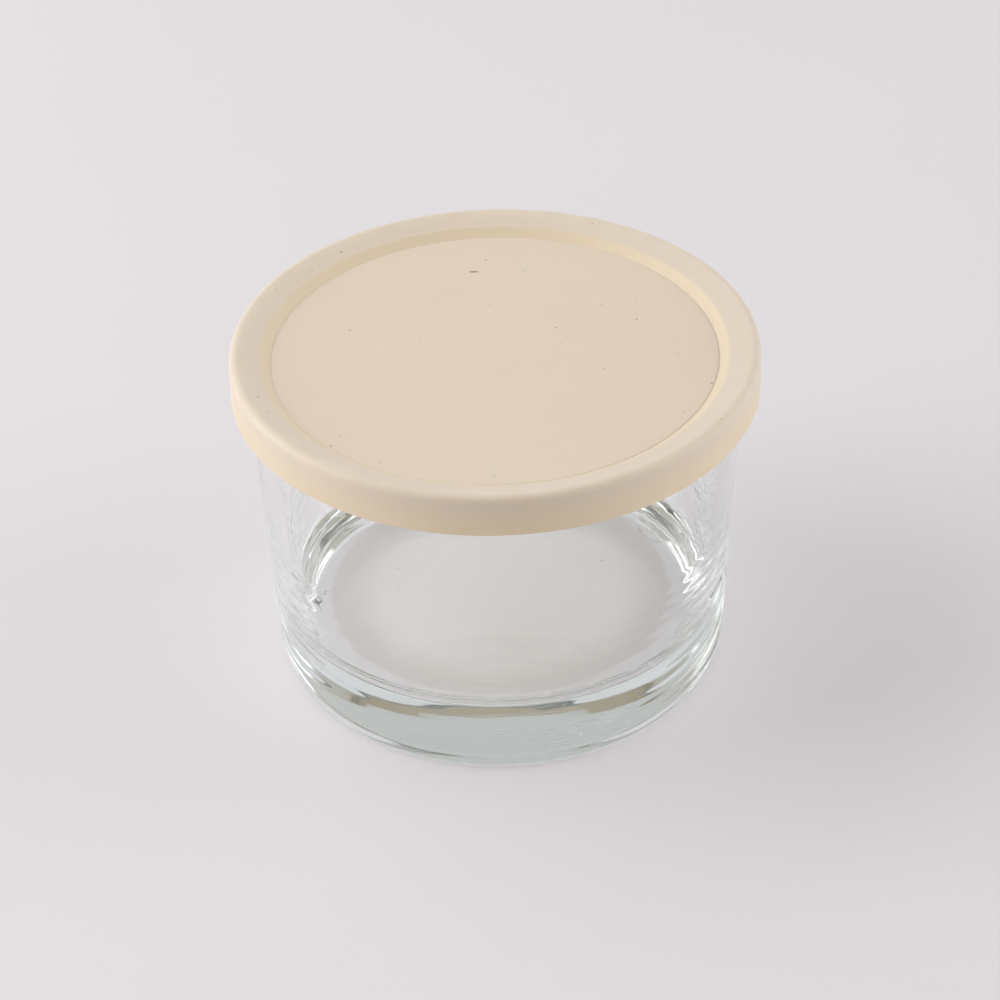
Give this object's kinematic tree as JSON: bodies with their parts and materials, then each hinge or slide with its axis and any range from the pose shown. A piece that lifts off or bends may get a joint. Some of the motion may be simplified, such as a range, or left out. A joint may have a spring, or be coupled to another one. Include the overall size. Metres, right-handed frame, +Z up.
{
  "type": "glass storage container with lid",
  "caption": "Round clear glass food container with a thick base, flared wall and press-on cream plastic lid with a sunk panel and raised rim.",
  "frame": {"origin": "centre of the face the bowl stands on", "axes": "+Z up along the container's axis of revolution; +X and +Y are equivalent because the object is round"},
  "size_m": [0.1204, 0.1204, 0.0824],
  "materials": {
    "clear_glass": "clear pressed soda-lime glass, polished, faint cool green in the thick base",
    "lid_plastic": "satin-matte moulded plastic, warm cream",
    "silicone": "soft translucent silicone, natural white"
  },
  "bodies": {
    "bowl": {"glass_body": "clear_glass"},
    "lid": {"lid": "lid_plastic", "seal_ring": "silicone"}
  },
  "joints": [
    {"name": "lid_lift", "type": "slide", "parent": "bowl", "child": "lid", "axis": [0, 0, 1], "range_m": [0, 0.04]}
  ]
}
